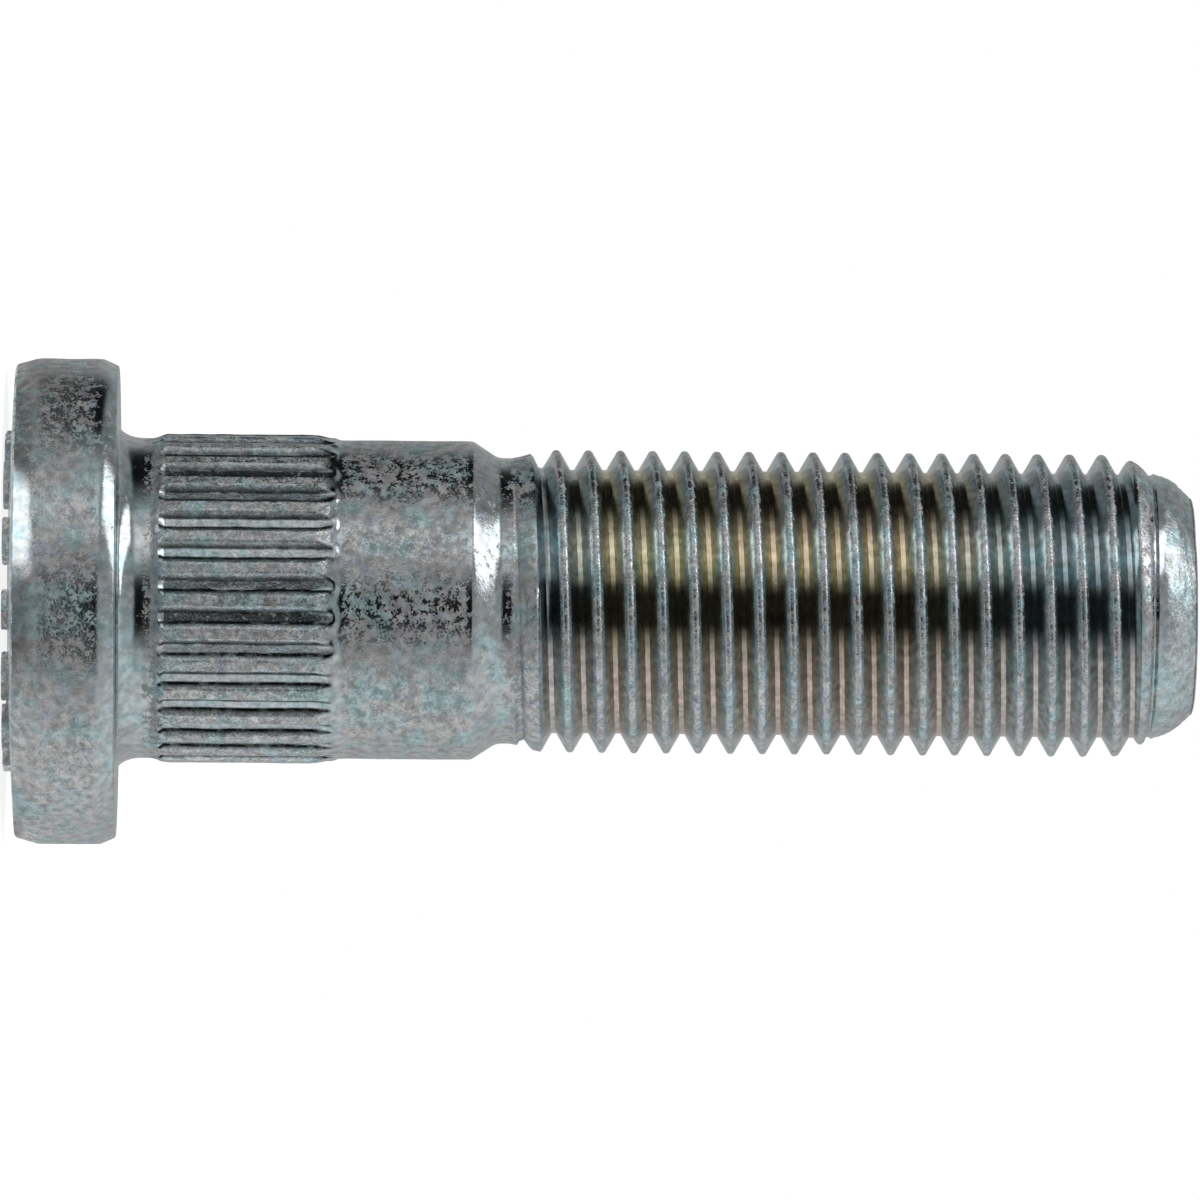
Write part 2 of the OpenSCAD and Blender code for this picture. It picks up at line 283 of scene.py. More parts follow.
def serrated_point(number, line, z):
    """A point of the serrated body: groove number, line across it and height."""
    # Both edges of each groove wander by themselves, and the groove does as a whole.
    across = groove_lines[line]
    side = 2.3 if across > 0 else 8.9
    wavy = ease(abs(across) / 0.15) * ease((0.65 - abs(across)) / 0.2)
    across += EDGE_WANDER * wavy * rough(number * 3.1 + side, 4, z, 1.3)
    wander = GROOVE_WANDER * rough(number * 3.7, 0, z, 0.5)
    turn = math.radians(SERRATION_TURN) + number * GROOVE_STEP + (across + wander) / CREST_R
    # The blank's skin is uneven, and a lip stands up where a groove runs out.
    x, y = CREST_R * math.cos(turn), CREST_R * math.sin(turn)
    coarse = ease((z - Z_RISE - 0.1) / 0.4) * ease((Z_SHOULDER - 0.3 - z) / 0.5)
    skin = RIDGE_BUMPS * rough(x, y, z, 2.4) + RIDGE_WAVES * rough(x, y, z, 1.1, 7)
    outer = blank_radius(z) + coarse * skin
    lip = math.exp(-((across / LIP_W) ** 2) - ((z - Z_GROOVE_END - 0.05) / LIP_L) ** 2)
    lip *= 0.8 + 0.6 * rough(number * 7.7, 2, 0, 1.0)
    outer += LIP_H * lip
    # The groove is pressed into it, with a flat floor and two flanks.
    size = groove_size(z) * (1 + 0.03 * rough(number * 5.3, 9, z, 0.8))
    bottom = CREST_R + GROOVE_OUT - (GROOVE_DEPTH + GROOVE_OUT) * size
    flank = bottom + (abs(across) - size * GROOVE_FLOOR_W / 2) / GROOVE_SLOPE
    pressed = max(bottom, flank)
    # The marks: grit on the ridges, painted shade along the foot, shine in and past the groove.
    deep = ease((outer - bottom) / 0.05)
    on_floor = deep * ease((size * 0.22 + 0.02 - abs(across)) / 0.05)
    in_groove = deep * ease((0.47 - abs(across)) / 0.06)
    grit = coarse * (0.45 - 0.2 * on_floor) * ease((Z_GROOVE_END + 0.1 - z) / 0.3)
    # Painted shade: a dark line along the foot of each flank, weaker on one side of the groove.
    foot = in_groove * (FOOT_FROM < abs(across) < FOOT_TO) * (1.0 if across > 0 else 0.75)
    shone = ease((z - Z_GROOVE_END + 0.35) / 0.25) * ease((Z_SHOULDER + 0.1 - z) / 0.25)
    shone *= 0.86 + 0.35 * rough(x, y, z, 1.6, 12)
    polish = max(0.85 * in_groove, min(1.0, 1.8 * lip), shone)
    return add_point(min(outer, pressed), turn, z, smooth=polish, grit=grit, dark=foot)


print(len(groove_lines), "lines across a groove,", len(serration_heights), "heights along it")

# %% [markdown]
# ## From outline to rings
# Each stretch of the outline is turned into rings with its own unevenness and finish: forged
# skin is wavy and dull, turned and rolled skin is truer and smoother. One side of the head's
# corner has been rubbed bright. The face and its pads are painted darker, as painted shade on
# the underside that the stud stands on.

# %% Head and body rings
PLAIN_POINTS = 8 * SERRATIONS
FINE_POINTS = 2 * PLAIN_POINTS
FORGED_WAVES, FORGED_BUMPS = 0.022, 0.012
FACE_OUT_OF_SQUARE = 0.045
RUBBED_TURN, RUBBED_HALF_WIDTH = -113, 12
# How dark the painted shade on the head's face and pads is.
FACE_PAINTED_SHADE = 0.35


def plain_ring(z, r, forged, finish, rubbed=0.0):
    """A ring of a turned or forged stretch, uneven, and rubbed brighter where it was handled."""
    shift = HEAD_SHIFT * (r > 7)
    askew = FACE_OUT_OF_SQUARE * (z < taper_end) * r / HEAD_R
    # Painted shade: the face and the head's lowest rings are painted darker, fading out 0.12 mm
    # above the face.
    face_shade = FACE_PAINTED_SHADE * ease((Z_FACE + 0.12 - z) / 0.12)
    ring = []
    for i in range(PLAIN_POINTS):
        turn = 2 * math.pi * i / PLAIN_POINTS
        x, y = r * math.cos(turn), r * math.sin(turn)
        skin = FORGED_WAVES * rough(x, y, z, 0.7) + FORGED_BUMPS * rough(x, y, z, 2.6, 5)
        off = math.remainder(turn - math.radians(RUBBED_TURN), 2 * math.pi)
        bright = finish + rubbed * ease(1.6 - abs(off) / math.radians(RUBBED_HALF_WIDTH))
        z_here = z + askew * math.cos(turn)
        ring.append(add_point(r + forged * skin, turn, z_here, shift, smooth=bright, dark=face_shade))
    return ring


def serrated_ring(z):
    """A ring of the serrated body; it starts where the plain rings do."""
    lines = len(groove_lines)
    start = lines // 2 - round(math.radians(SERRATION_TURN) / GROOVE_STEP * lines)
    numbers = [divmod(i + start, lines) for i in range(FINE_POINTS)]
    return [serrated_point(number, line, z) for number, line in numbers]


def plain_rings(outline, forged, finish, rubbed=0.0):
    """Rings along an outline: how uneven forging left it, how smooth and how rubbed it is."""
    top = outline[-1][0]
    return [plain_ring(z, r, forged, finish, rubbed * ease((top - z) / 0.3)) for z, r in outline]


rings = plain_rings(face, 1, 0) + plain_rings(corner, 0.7, 0.1, 0.9) + plain_rings(rim, 1, 0.17)
rings += plain_rings(chamfer, 0.4, 0.8) + plain_rings(bearing, 0.3, 0.6)
rings += plain_rings(fillet, 0.2, 0.9) + plain_rings(collar, 0.4, 0.38)
rings += [serrated_ring(z) for z in serration_heights]
rings += plain_rings(shoulder, 0.6, 0) + plain_rings(step, 0.4, 0.62) + plain_rings(neck, 0.4, 0.4)
centre = add_point(0, 0, Z_FACE - FACE_DOME)
faces.extend((centre, rings[0][(i + 1) % PLAIN_POINTS], rings[0][i]) for i in range(PLAIN_POINTS))
for lower, upper in zip(rings, rings[1:]):
    join_rings(lower, upper)
print("head and body:", len(points), "points")

# %% [markdown]
# ## The thread
# The thread is rolled, not cut: the dies press the roots into the bar and the metal flows up
# into the crests, so it starts on a bar as thick as the neck. It is a fine M12 thread with a
# pitch of 1.25 mm. The points are wound along the helix, eighteen lines of them to a turn, so
# that the crest and the root each run along lines of points and keep their true shape: a
# rounded crest, straight flanks and a flat root.

# %% Thread outline
TURN_POINTS = PLAIN_POINTS // 2
ROOT_R = THREAD_R - THREAD_DEPTH
FLANK_SLOPE = 1 / math.tan(math.radians(30))
FLANKS_IN, CREST_ROUND = 0.006, 0.09
MIDDLE_R = (THREAD_R + ROOT_R) / 2 - FLANKS_IN
half_line = [0, 4, 8, 13, 23, 33, 43, 53, 58]
line_levels = half_line + [TURN_POINTS // 2] + [TURN_POINTS - v for v in reversed(half_line[1:])]
LINES = len(line_levels)


def blend_low(a, b, width):
    """The lower of two values, rounded where they cross."""
    h = max(width - abs(a - b), 0) / width
    return min(a, b) - h * h * width / 4


def thread_outline(level):
    """Radius of the full thread, a number of levels up from the middle of a crest."""
    x = abs((level + TURN_POINTS / 2) % TURN_POINTS - TURN_POINTS / 2) * PITCH / TURN_POINTS
    flank = MIDDLE_R + (PITCH / 4 - x) * FLANK_SLOPE
    return blend_low(max(flank, ROOT_R), THREAD_R, CREST_ROUND)


print("radius along a turn:", [round(thread_outline(level), 2) for level in line_levels])

# %% [markdown]
# ## Winding it
# The thread grows out of the neck over its first turns and fades into the tip over its last,
# as the dies run in and out. Past either end, a line's points fall together on the last ring.

# %% Wind the thread
level_rise = PITCH / TURN_POINTS
thread_levels = round(THREAD_L / level_rise)
FIRST_CREST_Z = Z_THREAD + 0.024
phase = round((FIRST_CREST_Z - Z_THREAD) / level_rise - THREAD_TURN / 360 * TURN_POINTS)
GROW_L, FADE_Z, FADE_SLOPE, FADE_ROUND = 1.7, Z_TIP - 1.05, 0.6, 0.3
GOLD_REACH, TEAL_REACH = 0.42, 0.3
CREST_BUMPS, CREST_WAVES, THREAD_WAVES = 0.011, 0.014, 0.005


def thread_point(level, line, column):
    """A point of the thread: level up from its start, line of the outline, column round."""
    z = Z_THREAD + level * level_rise
    turn = 2 * math.pi * column / TURN_POINTS
    full = thread_outline(line_levels[line])
    crest = ease((full - THREAD_R + 0.2) / 0.14)
    # The root's tint reaches further up the flank on its head side than on its tip side.
    reach = GOLD_REACH if line_levels[line] < TURN_POINTS / 2 else TEAL_REACH
    root = ease((ROOT_R + reach - full) / (0.6 * reach))
    # Where the dies run in, the roots sink and the crests rise, and then the crests fade.
    grown = ease((z - Z_THREAD + 0.15) / GROW_L)
    pressed = full + (1 - grown) * (NECK_R - ROOT_R)
    swollen = NECK_R + grown * (THREAD_R - NECK_R)
    r = blend_low(pressed, swollen, CREST_ROUND)
    r = blend_low(r, THREAD_R - FADE_SLOPE * (z - FADE_Z), FADE_ROUND)
    # Most of the unevenness is on the crests. Both ends of the thread meet the plain rings.
    x, y = full * math.cos(turn), full * math.sin(turn)
    r += crest * (CREST_BUMPS * rough(x, y, z, 2.2, 3) + CREST_WAVES * rough(x, y, z, 0.5, 8))
    r += THREAD_WAVES * rough(x, y, z, 1.1, 4)
    last = ease((Z_TIP - z) / 0.12)
    first = ease((z - Z_THREAD) / 0.1)
    r = TIP_R + last * (NECK_R + first * (r - NECK_R) - TIP_R)
    shine = ease((z - Z_THREAD - 0.5) / 0.7) * ease((Z_TIP - z) / 0.5)
    worn = shine * (1 - 0.75 * crest)
    return add_point(r, turn, z, smooth=worn, grit=0.35 * crest * shine, root=root * shine)


start_ring = [
    add_point(NECK_R, 2 * math.pi * i / TURN_POINTS, Z_THREAD) for i in range(TURN_POINTS)
]
end_ring = [
    add_point(TIP_R, 2 * math.pi * i / TURN_POINTS, Z_TIP) for i in range(TURN_POINTS)
]
turns_held = thread_levels // TURN_POINTS + 4
made = {}


def wound_point(column, row):
    """The point where a line of the helix crosses a column, or the ring it has run into."""
    if column == TURN_POINTS:
        column, row = 0, row + LINES
    level = TURN_POINTS * (row // LINES - 2) + line_levels[row % LINES] + column + phase
    if level <= 0:
        return start_ring[column]
    if level >= thread_levels:
        return end_ring[column]
    if (column, row) not in made:
        made[column, row] = thread_point(level, row % LINES, column)
    return made[column, row]


for column in range(TURN_POINTS):
    for row in range(LINES * (turns_held - 1)):
        corners = [
            wound_point(column, row),
            wound_point(column + 1, row),
            wound_point(column + 1, row + 1),
            wound_point(column, row + 1),
        ]
        distinct = list(dict.fromkeys(corners))
        if len(distinct) > 2:
            faces.append(tuple(distinct))
join_rings(rings[-1], start_ring)
print("thread:", len(made), "points,", round(thread_levels / TURN_POINTS, 1), "turns")

# %% [markdown]
# ## The lead-in tip
# The nose is a blunt cone that bends over towards its end. The dies squeeze a little metal out
# past the bar's end, so the lip is uneven and a little out of square, handling has dented it,
# and its skin is finely hammered. Many close rings hold those small dents as real shape, so
# that they break up the highlight.

# %% Tip rings
NOSE_STEPS, OUT_OF_SQUARE = 24, 0.09
HAMMERED, HAMMERED_PER_MM = 0.05, 4.2
DENTS, NOSE_BUMPS, NOSE_WAVES, NOSE_LIP = 0.16, 0.012, 0.02, 0.05
nose_drop = TIP_R - TIP_END_R
tip_outline = [(Z_TIP + 0.07, TIP_R - 0.02), (Z_TIP + 0.2, TIP_R + 0.06), (Z_END - NOSE_L, TIP_R)]
for i in range(1, NOSE_STEPS + 1):
    t = i / NOSE_STEPS
    tip_outline.append((Z_END - NOSE_L * (1 - t), TIP_R - nose_drop * (0.35 * t + 0.65 * t * t)))
tip_outline[-1:] = [(Z_END - 0.07, TIP_END_R + 0.1), (Z_END - 0.015, TIP_END_R + 0.02)]
tip_outline += [(Z_END, TIP_END_R - 0.12), (Z_END - 0.02, TIP_END_R - 0.45)]
tip_outline += [(Z_END - 0.07, 2.9), (Z_END - 0.1, 2.0), (Z_END - 0.11, 1.0)]


def tip_ring(z, r):
    """A ring of the tip, dented and uneven."""
    ring = []
    for i in range(TURN_POINTS):
        turn = 2 * math.pi * i / TURN_POINTS
        x, y = r * math.cos(turn), r * math.sin(turn)
        dent = min(0.0, DENTS * rough(x, y, z, 0.75, 11) + 0.03)
        near_end = ease((z - Z_END + 0.9) / 0.6)
        worn = NOSE_BUMPS * rough(x, y, z, 1.9, 2)
        worn += near_end * (dent + NOSE_WAVES * rough(x, y, z, 1.3, 6))
        lip = NOSE_LIP * near_end * min(0.0, rough(x, y, 0, 0.45, 21))
        askew = near_end * OUT_OF_SQUARE * (x / TIP_END_R - 1) / 2
        nose = ease((z - Z_END + NOSE_L) / 0.2)
        fine = HAMMERED * nose * ease((Z_END - z) / 0.2)
        worn += fine * rough(x, y, z, HAMMERED_PER_MM, 31)
        ring.append(add_point(r + worn, turn, z + lip + askew, smooth=0.97, grit=0.35 * nose))
    return ring


tip_rings = [end_ring] + [tip_ring(z, r) for z, r in tip_outline]
for lower, upper in zip(tip_rings, tip_rings[1:]):
    join_rings(lower, upper)
end_centre = add_point(0, 0, Z_END - 0.115)
last = tip_rings[-1]
faces.extend((end_centre, last[i], last[(i + 1) % TURN_POINTS]) for i in range(TURN_POINTS))
print("tip:", len(tip_rings), "rings")

# %% [markdown]
# ## Pads on the head face
# Low plain pads are forged on the outer face of the head. Each is a small block with its outer
# edges rounded, let into the face, and they all end in the plane that the stud stands on.

# %% Pads
PAD_EDGE, PAD_SUNK_Z = 0.08, 0.36


def add_pad(turn):
    """One pad with rounded outer edges, at a turn round the axis."""
    middle = 0.3 * PAD_EDGE
    rounds = [(0.0, PAD_SUNK_Z), (0.0, PAD_EDGE), (middle, middle), (PAD_EDGE, 0.0)]
    loops = []
    for inset, z in rounds:
        loop = []
        for sx, sy in ((-1, -1), (-1, 1), (1, 1), (1, -1)):
            x = PAD_RING_R + sx * (PAD_W / 2 - inset)
            y = sy * (PAD_L / 2 - inset)
            r, off = math.hypot(x, y), math.atan2(y, x)
            # The pads take the same painted shade as the face.
            loop.append(add_point(r, turn + off, z, HEAD_SHIFT, dark=FACE_PAINTED_SHADE))
        loops.append(loop)
    for a, b in zip(loops, loops[1:]):
        join_rings(a, b)
    faces.append(tuple(loops[-1]))
    faces.append(tuple(reversed(loops[0])))


for i in range(PADS):
    add_pad(math.radians(PAD_TURN + 360 * i / PADS))
print("pads:", PADS, "of", PAD_L, "x", PAD_W, "mm")

# %% [markdown]
# ## Make the object
# The points and faces become one mesh. Smooth shading hides the small facets, but the edges of
# the grooves, the turned corner and the pads stay crisp, so edges that bend by more than a set
# angle are marked sharp.

# %% Mesh object
SHARP_DEG = 38
mesh = bpy.data.meshes.new("stud_plated")
mesh.from_pydata(points, [], faces)
for name, values in marks.items():
    mesh.attributes.new(name, "FLOAT", "POINT").data.foreach_set("value", values)
mesh.validate()
sculpt = bmesh.new()
sculpt.from_mesh(mesh)
for edge in sculpt.edges:
    if len(edge.link_faces) == 2:
        edge.smooth = edge.calc_face_angle(0) < math.radians(SHARP_DEG)
for facet in sculpt.faces:
    facet.smooth = True
open_edges = sum(1 for edge in sculpt.edges if len(edge.link_faces) != 2)
sculpt.to_mesh(mesh)
sculpt.free()
stud = bpy.data.objects.new("stud_plated", mesh)
bpy.context.scene.collection.objects.link(stud)
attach(stud, "root")
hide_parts("wheel_stud")
triangles = sum(len(p.vertices) - 2 for p in mesh.polygons)
print("mesh:", len(mesh.vertices), "points,", triangles, "triangles, open edges:", open_edges)

# %% [markdown]
# ## Zinc plate, clear passivate
# Electroplated zinc is a fine crystalline metal skin, a cool light grey, and it copies the
# surface under it. Where the steel was rolled or turned smooth it mirrors the room; on the
# forged skin it is satin, broken by small bright grains where handling has burnished it. It
# could be painted on an image, but noise measured in the object's own millimetres keeps its
# grain size on every face. First come four small helpers for all the materials.

# %% Colour and node helpers
def colour(hex_code):
    """Linear colour from an sRGB hex code."""
    parts = [int(hex_code[i:i + 2], 16) / 255 for i in (1, 3, 5)]
    linear = [c / 12.92 if c <= 0.04045 else ((c + 0.055) / 1.055) ** 2.4 for c in parts]
    return (*linear, 1.0)


def add_node(tree, kind, inputs=None, **settings):
    """A node with its settings, and with inputs that are values or other nodes' outputs."""
    made_node = tree.nodes.new(kind)
    for name, value in settings.items():
        setattr(made_node, name, value)
    for name, value in (inputs or {}).items():
        if isinstance(value, bpy.types.NodeSocket):
            tree.links.new(value, made_node.inputs[name])
        else:
            made_node.inputs[name].default_value = value
    return made_node


def set_ramp(ramp_node, *stops):
    """Puts the stops of a colour ramp: pairs of a place and a colour."""
    elements = ramp_node.color_ramp.elements
    while len(elements) < len(stops):
        elements.new(1.0)
    for element, (place_at, value) in zip(elements, stops):
        element.position, element.color = place_at, value
    return ramp_node.outputs["Color"]


def new_tree(name):
    """A material and its empty node tree."""
    made_material = bpy.data.materials.new(name)
    made_material.use_nodes = True
    made_material.node_tree.nodes.clear()
    return made_material, made_material.node_tree


print("#808080 is", round(colour("#808080")[0], 3), "in linear colour")

# %% [markdown]
# ## Satin and burnished grains
# A cell of a Voronoi pattern stands for one grain of zinc, and a wider noise gathers the
# burnished grains in patches. The real grains are a few hundredths of a millimetre, too fine to
# show, so they are drawn 13 to a millimetre. The smoother a point was made, the more of its
# grains are bright, and where dies or a tool have pressed it flat the whole skin is.

# %% Plated skin: where it is satin and where it is burnished
GRAINS_PER_MM, PATCHES_PER_MM = 13.0, 2.6
GRAIN_SHARE, SMOOTH_SHARE = 0.22, 0.24
WORN_FROM, WORN_TO, ROLLED_FROM = 0.595, 0.68, 0.75
SATIN_ROUGHNESS, BURNISHED_ROUGHNESS = 0.72, 0.13
zinc, tree = new_tree("electroplated_zinc_clear_passivate")
place_node = add_node(tree, "ShaderNodeTexCoord")
in_mm = {0: place_node.outputs["Object"], "Scale": (1 / MM, 1 / MM, 1 / MM)}
mm_place = add_node(tree, "ShaderNodeMapping", in_mm).outputs["Vector"]
smooth = add_node(tree, "ShaderNodeAttribute", attribute_name="smooth").outputs["Fac"]
grit = add_node(tree, "ShaderNodeAttribute", attribute_name="grit").outputs["Fac"]
root = add_node(tree, "ShaderNodeAttribute", attribute_name="root").outputs["Fac"]
dark = add_node(tree, "ShaderNodeAttribute", attribute_name="dark").outputs["Fac"]

grain_cell = add_node(tree, "ShaderNodeTexVoronoi", {0: mm_place, "Scale": GRAINS_PER_MM})
grain_pick = add_node(tree, "ShaderNodeSeparateColor", {0: grain_cell.outputs["Color"]}).outputs[0]
patches = add_node(
    tree,
    "ShaderNodeTexNoise",
    {0: mm_place, "Scale": PATCHES_PER_MM, "Detail": 5.0, "Roughness": 0.62},
)
speck = add_node(
    tree,
    "ShaderNodeMath",
    {0: grain_pick, 1: GRAIN_SHARE, 2: patches.outputs["Fac"]},
    operation="MULTIPLY_ADD",
).outputs[0]
burnish = add_node(
    tree, "ShaderNodeMath", {0: smooth, 1: SMOOTH_SHARE, 2: speck}, operation="MULTIPLY_ADD"
).outputs[0]
worn_spots = add_node(
    tree, "ShaderNodeMapRange", {0: burnish, 1: WORN_FROM, 2: WORN_TO}
).outputs[0]
rolled = add_node(tree, "ShaderNodeMapRange", {0: smooth, 1: ROLLED_FROM, 2: 1.0}).outputs[0]
shiny = add_node(tree, "ShaderNodeMath", {0: worn_spots, 1: rolled}, operation="MAXIMUM").outputs[0]
roughness = add_node(
    tree, "ShaderNodeMapRange", {0: shiny, 3: SATIN_ROUGHNESS, 4: BURNISHED_ROUGHNESS}
).outputs[0]
print("roughness from", BURNISHED_ROUGHNESS, "to", SATIN_ROUGHNESS, "by", len(tree.nodes), "nodes")

# %% [markdown]
# ## The tints of the film
# The clear passivate on the zinc is a film so thin that it tints the light. It is grey and teal
# in clouds of about a millimetre all over. In the roots of the thread's middle, where the dies
# left the steel smoothest, it is straw gold. On the side of the thread away from the soft box its
# roots are painted plainer and greyer, as painted shade. The gold is bound to a stretch of the
# length, so it fades in and out along the thread.

# %% Plated skin: its tints
CLOUDS_PER_MM, GOLD_CLOUDS_PER_MM = 0.9, 0.16
GOLD_FROM, GOLD_FULL, GOLD_FADES, GOLD_TO = 21.1, 23.6, 35.1, 40.1
# Where the painted shade on the thread's far side begins and where it is full, in mm along X.
SHADED_SIDE_FROM_X, SHADED_SIDE_TO_X = 0.3, 2.4
clouds = add_node(
    tree,
    "ShaderNodeTexNoise",
    {0: mm_place, "Scale": CLOUDS_PER_MM, "Detail": 4.0, "Roughness": 0.6},
)
skin = set_ramp(
    add_node(tree, "ShaderNodeValToRGB", {0: clouds.outputs["Fac"]}),
    (0.38, colour("#A9BEC1")),
    (0.48, colour("#B3BABD")),
    (0.56, colour("#BAB9B8")),
    (0.66, colour("#AFB3BC")),
)
gold_clouds = add_node(
    tree, "ShaderNodeTexNoise", {0: mm_place, "Scale": GOLD_CLOUDS_PER_MM, "Detail": 1.0}
)
gold = set_ramp(
    add_node(tree, "ShaderNodeValToRGB", {0: gold_clouds.outputs["Fac"]}),
    (0.35, colour("#CECBB0")),
    (0.5, colour("#CEC8AE")),
    (0.62, colour("#CEC2AC")),
)
place_parts = add_node(tree, "ShaderNodeSeparateXYZ", {0: mm_place})
length_mm = place_parts.outputs["Z"]
# Painted shade: towards +X, the side away from the soft box, the thread's roots are painted plainer
# and greyer.
painted_shade_side = add_node(
    tree, "ShaderNodeMapRange", {0: place_parts.outputs["X"], 1: SHADED_SIDE_FROM_X, 2: SHADED_SIDE_TO_X}
).outputs[0]
# BAB1A8 is the painted-shade colour of the gold roots.
root_tint = add_node(
    tree, "ShaderNodeMix", {"Factor": painted_shade_side, 6: gold, 7: colour("#BAB1A8")}, data_type="RGBA"
).outputs[2]
gold_in = add_node(
    tree, "ShaderNodeMapRange", {0: length_mm, 1: GOLD_FROM, 2: GOLD_FULL}
).outputs[0]
gold_out = add_node(
    tree, "ShaderNodeMapRange", {0: length_mm, 1: GOLD_TO, 2: GOLD_FADES}
).outputs[0]
gold_span = add_node(
    tree, "ShaderNodeMath", {0: gold_in, 1: gold_out}, operation="MULTIPLY"
).outputs[0]
gold_amount = add_node(
    tree, "ShaderNodeMath", {0: gold_span, 1: root}, operation="MULTIPLY"
).outputs[0]
teal_amount = add_node(
    tree, "ShaderNodeMapRange", {0: smooth, 1: 0.3, 2: 1.0, 4: 0.3}
).outputs[0]
rolled_skin = add_node(
    tree, "ShaderNodeMix", {"Factor": teal_amount, 6: skin, 7: colour("#B0C6CC")}, data_type="RGBA"
).outputs[2]
# BDBBB9 is the painted-shade colour of the roots outside the gold stretch.
painted_shade_side_amount = add_node(
    tree, "ShaderNodeMath", {0: painted_shade_side, 1: root}, operation="MULTIPLY"
).outputs[0]
thread_skin = add_node(
    tree,
    "ShaderNodeMix",
    {"Factor": painted_shade_side_amount, 6: rolled_skin, 7: colour("#BDBBB9")},
    data_type="RGBA",
).outputs[2]
tinted = add_node(
    tree, "ShaderNodeMix", {"Factor": gold_amount, 6: thread_skin, 7: root_tint}, data_type="RGBA"
).outputs[2]
print("gold from", GOLD_FROM, "to", GOLD_TO, "mm up the stud")

# %% [markdown]
# ## Frost, pits and painted shade
# Three finer things lie over the tints. The crystals give a frosty light and dark mottle about
# a third of a millimetre across. Where the skin is gritty its colour follows the pits, about a
# tenth of a millimetre each: darker in them as painted shade and lighter on the grains between
# them as painted highlight. A near-black is painted into the creases of the serrations and onto
# the head's face and pads as painted shade, broken up by a noise.

# %% Plated skin: frost, pits and painted shade
FROST_PER_MM, PITS_PER_MM, SHADE_GAPS_PER_MM = 3.0, 9.0, 2.4
frost = add_node(
    tree, "ShaderNodeTexNoise", {0: mm_place, "Scale": FROST_PER_MM, "Detail": 4.0}
).outputs["Fac"]
frosted = add_node(
    tree, "ShaderNodeMapRange", {0: frost, 1: 0.33, 2: 0.67, 3: 0.72, 4: 1.25}
).outputs[0]
mottled = add_node(
    tree,
    "ShaderNodeMix",
    {"Factor": 0.9, 6: tinted, 7: frosted},
    data_type="RGBA",
    blend_type="MULTIPLY",
).outputs[2]
grain = add_node(
    tree,
    "ShaderNodeTexNoise",
    {0: mm_place, "Scale": PITS_PER_MM, "Detail": 3.0, "Roughness": 0.7},
).outputs["Fac"]
# Painted shade and highlight: the colour is darker where the relief's grain is low and lighter
# where it is high.
pits = add_node(
    tree, "ShaderNodeMapRange", {0: grain, 1: 0.38, 2: 0.6, 3: 0.6, 4: 1.65}
).outputs[0]
pitted = add_node(
    tree,
    "ShaderNodeMix",
    {"Factor": grit, 6: mottled, 7: pits},
    data_type="RGBA",
    blend_type="MULTIPLY",
).outputs[2]
# Painted shade: the dark mark is broken up by a noise and mixed towards a near-black, #1C1E20.
shade_gaps = add_node(
    tree, "ShaderNodeTexNoise", {0: mm_place, "Scale": SHADE_GAPS_PER_MM, "Detail": 3.0}
).outputs["Fac"]
shade_left = add_node(
    tree, "ShaderNodeMapRange", {0: shade_gaps, 1: 0.36, 2: 0.52, 3: 0.7}
).outputs[0]
painted_shade_amount = add_node(
    tree, "ShaderNodeMath", {0: dark, 1: shade_left}, operation="MULTIPLY"
).outputs[0]
# The painted shade goes into the base colour here.
base = add_node(
    tree,
    "ShaderNodeMix",
    {"Factor": painted_shade_amount, 6: pitted, 7: colour("#1C1E20")},
    data_type="RGBA",
).outputs[2]
print("colour and roughness take", len(tree.nodes), "nodes")

# %% [markdown]
# ## Fine relief
# The same fine grain lifts the surface a little: less where it was made smooth, more where it
# is gritty. It is far finer than the mesh, so it is a bump. The metal is fully metallic and
# keeps the default IOR, since its base colour already says how it reflects.

# %% Plated skin: its fine relief
RELIEF_MM = 0.09
plain_grain = add_node(tree, "ShaderNodeMapRange", {0: smooth, 3: 0.2, 4: 0.02}).outputs[0]
grain_strength = add_node(
    tree, "ShaderNodeMath", {0: plain_grain, 1: grit}, operation="MAXIMUM"
).outputs[0]
relief = add_node(
    tree,
    "ShaderNodeBump",
    {"Strength": grain_strength, "Distance": RELIEF_MM * MM, "Height": grain},
)
shader = add_node(
    tree,
    "ShaderNodeBsdfPrincipled",
    {
        "Base Color": base,
        "Roughness": roughness,
        "Normal": relief.outputs["Normal"],
        "Metallic": 1.0,
    },
)
add_node(tree, "ShaderNodeOutputMaterial", {"Surface": shader.outputs["BSDF"]})
stud.data.materials.append(zinc)
print(zinc.name, "has", len(tree.nodes), "nodes")

# %% [markdown]
# ## Studio
# The stud stands on a floor of pale paper under a plain white sky. The paper's own light lifts
# it to white, and it still keeps the stud's soft shadow.

# %% World and floor
PAPER_LIFT = 0.84
world = bpy.data.worlds.new("white_studio")
bpy.context.scene.world = world
world.use_nodes = True
world.node_tree.nodes["Background"].inputs["Color"].default_value = (1, 1, 1, 1)
world.node_tree.nodes["Background"].inputs["Strength"].default_value = 1.0

bpy.ops.mesh.primitive_plane_add(size=6)
floor = bpy.context.object
floor.name = "floor"
paper, tree = new_tree("pale_paper_sweep")
matte = add_node(tree, "ShaderNodeBsdfDiffuse", {"Color": colour("#828282")})
lift = add_node(tree, "ShaderNodeEmission", {"Color": (1, 1, 1, 1), "Strength": PAPER_LIFT})
both_shaders = add_node(tree, "ShaderNodeAddShader", {0: matte.outputs[0], 1: lift.outputs[0]})
add_node(tree, "ShaderNodeOutputMaterial", {"Surface": both_shaders.outputs[0]})
floor.data.materials.append(paper)
print("floor:", [round(v, 1) for v in floor.dimensions], "m")

